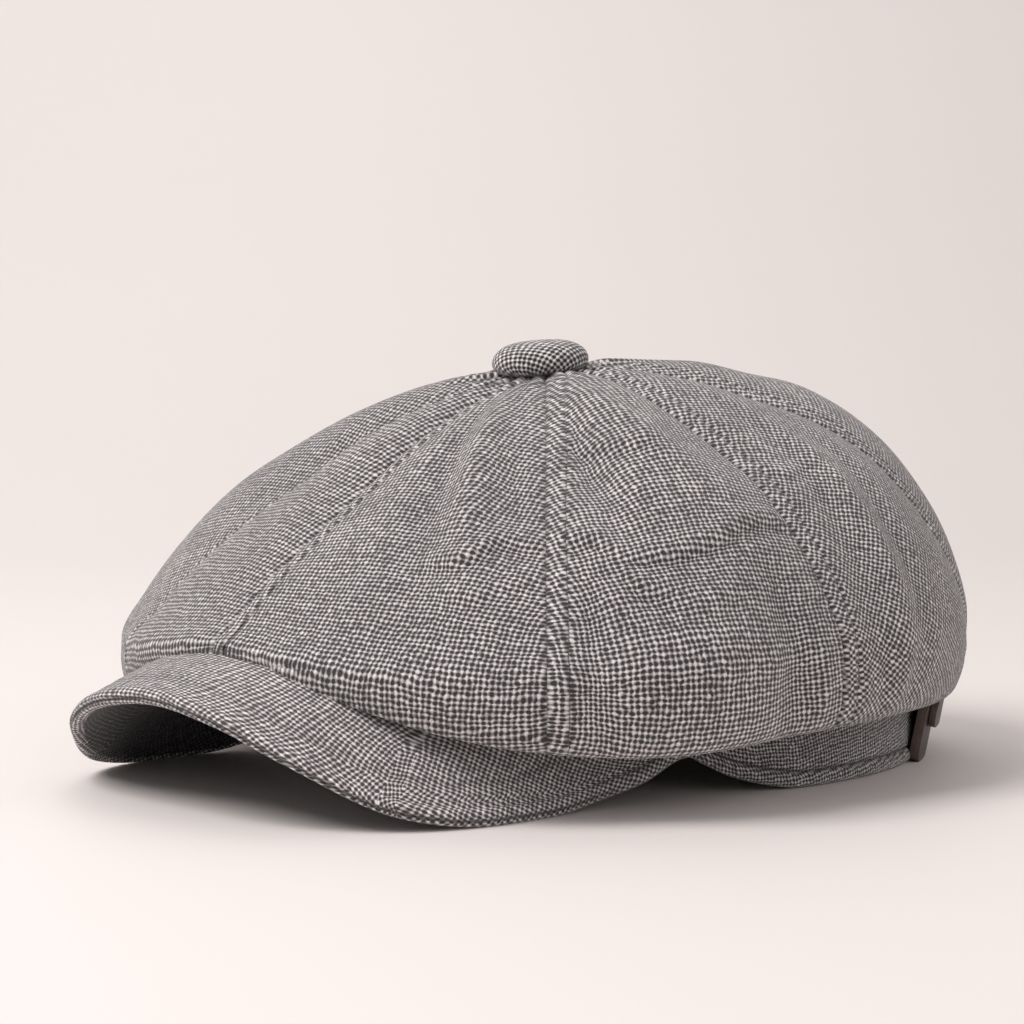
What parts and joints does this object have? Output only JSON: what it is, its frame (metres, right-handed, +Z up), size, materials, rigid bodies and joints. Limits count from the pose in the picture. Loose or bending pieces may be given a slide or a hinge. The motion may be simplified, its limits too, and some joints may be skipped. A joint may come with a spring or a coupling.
{
  "type": "eight-panel flat cap",
  "caption": "Soft cloth cap of eight wedge panels under a covered button, with an arched peak, a headband and a leather back strap.",
  "frame": {"origin": "middle of the cap's footprint, on the surface that it stands on", "axes": "+Z up through the crown, -Y the way the peak points, +X towards the wearer's left"},
  "size_m": [0.2414, 0.2836, 0.1284],
  "materials": {
    "cloth": "coarse grey basket weave of light and dark yarns, matt",
    "leather": "dark brown smooth leather, satin"
  },
  "bodies": {
    "root": {"crown_panel_front_left": "cloth", "crown_panel_left_front": "cloth", "crown_panel_left_rear": "cloth", "crown_panel_rear_left": "cloth", "crown_panel_rear_right": "cloth", "crown_panel_right_rear": "cloth", "crown_panel_right_front": "cloth", "crown_panel_front_right": "cloth", "button": "cloth", "peak": "cloth", "headband": "cloth", "back_strap": "leather", "strap_tab": "leather"}
  },
  "joints": []
}
